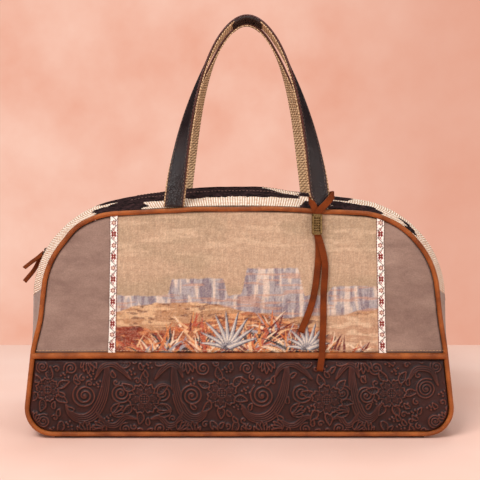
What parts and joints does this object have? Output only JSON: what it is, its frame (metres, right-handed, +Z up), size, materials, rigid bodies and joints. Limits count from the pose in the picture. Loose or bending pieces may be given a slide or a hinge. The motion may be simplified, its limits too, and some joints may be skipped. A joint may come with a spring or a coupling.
{
  "type": "carpet bag",
  "caption": "Domed carpet bag with a woven cloth front, suede sides, a tooled leather band, piped seams, a two-way zip, twin strap handles and a lace tassel.",
  "frame": {"origin": "on the floor under the middle of the bag's flat base", "axes": "+X to the right of the front, -Y out of the front, +Z up"},
  "size_m": [0.553, 0.218, 0.5134],
  "materials": {
    "tapestry": "woven tapestry cloth, tan ground with a woven landscape",
    "suede": "brushed suede, taupe",
    "ribbon": "woven ribbon, cream with small red flowers",
    "tooled_leather": "dark brown leather, tooled with a floral scroll, soft sheen",
    "plain_leather": "smooth dark brown leather, soft sheen",
    "piping": "tan leather, matte",
    "patch_cloth": "ribbed cream cloth with dark brown patches",
    "board": "stiff fibre board",
    "zip_tape": "black woven tape",
    "zip_teeth": "black moulded teeth",
    "dark_metal": "dark antique metal, worn",
    "antique_brass": "antique brass with a dark, pitted recess",
    "webbing": "tan woven webbing",
    "lace": "tan suede lace, matte"
  },
  "bodies": {
    "bag": {"front_cloth": "tapestry", "front_side_left": "suede", "front_side_right": "suede", "front_ribbon_left": "ribbon", "front_ribbon_right": "ribbon", "front_band": "tooled_leather", "front_band_piping": "piping", "front_edge_piping": "piping", "back_cloth": "tapestry", "back_side_left": "suede", "back_side_right": "suede", "back_ribbon_left": "ribbon", "back_ribbon_right": "ribbon", "back_band": "tooled_leather", "back_band_piping": "piping", "back_edge_piping": "piping", "zip_gusset_front": "patch_cloth", "zip_gusset_back": "patch_cloth", "side_gusset_left": "suede", "side_gusset_right": "suede", "base_panel": "plain_leather", "base_board": "board", "zip_tape_front": "zip_tape", "zip_tape_back": "zip_tape", "zip_teeth_front": "zip_teeth", "zip_teeth_back": "zip_teeth", "zip_tab_left": "piping", "zip_tab_right": "piping", "front_strap_feet": "plain_leather", "back_strap_feet": "plain_leather", "lace_loop": "lace", "lace_bead": "antique_brass", "lace_tail_left": "lace", "lace_tail_right": "lace"},
    "front_handle": {"front_handle_leather": "plain_leather", "front_handle_lining": "webbing", "front_handle_grip": "plain_leather"},
    "back_handle": {"back_handle_leather": "plain_leather", "back_handle_lining": "webbing", "back_handle_grip": "plain_leather"},
    "zip_slider_left": {"left_slider": "dark_metal"},
    "zip_slider_right": {"right_slider": "dark_metal"},
    "zip_pull_left": {"left_pull_ring": "dark_metal", "pull_lace_upper": "lace", "pull_lace_lower": "lace"},
    "zip_pull_right": {"right_puller": "dark_metal"}
  },
  "joints": [
    {"name": "front_handle_swing", "type": "hinge", "parent": "bag", "child": "front_handle", "pos_m": [0.0095, -0.09247, 0.30483], "axis": [1, 0, 0], "range_deg": [-8, 150]},
    {"name": "back_handle_swing", "type": "hinge", "parent": "bag", "child": "back_handle", "pos_m": [0.0095, 0.09247, 0.30483], "axis": [-1, 0, 0], "range_deg": [-8, 160]},
    {"name": "left_zip_travel", "type": "hinge", "parent": "bag", "child": "zip_slider_left", "pos_m": [-0.1402, 0, 0.16015], "axis": [0, 1, 0], "range_deg": [0, 45]},
    {"name": "right_zip_travel", "type": "hinge", "parent": "bag", "child": "zip_slider_right", "pos_m": [0.1402, 0, 0.16015], "axis": [0, -1, 0], "range_deg": [0, 62]},
    {"name": "left_pull_swing", "type": "hinge", "parent": "zip_slider_left", "child": "zip_pull_left", "pos_m": [-0.2517, 0, 0.21819], "axis": [0, 1, 0], "range_deg": [0, 130]},
    {"name": "right_pull_swing", "type": "hinge", "parent": "zip_slider_right", "child": "zip_pull_right", "pos_m": [0.26555, 0, 0.16957], "axis": [0, -1, 0], "range_deg": [0, 160]}
  ]
}
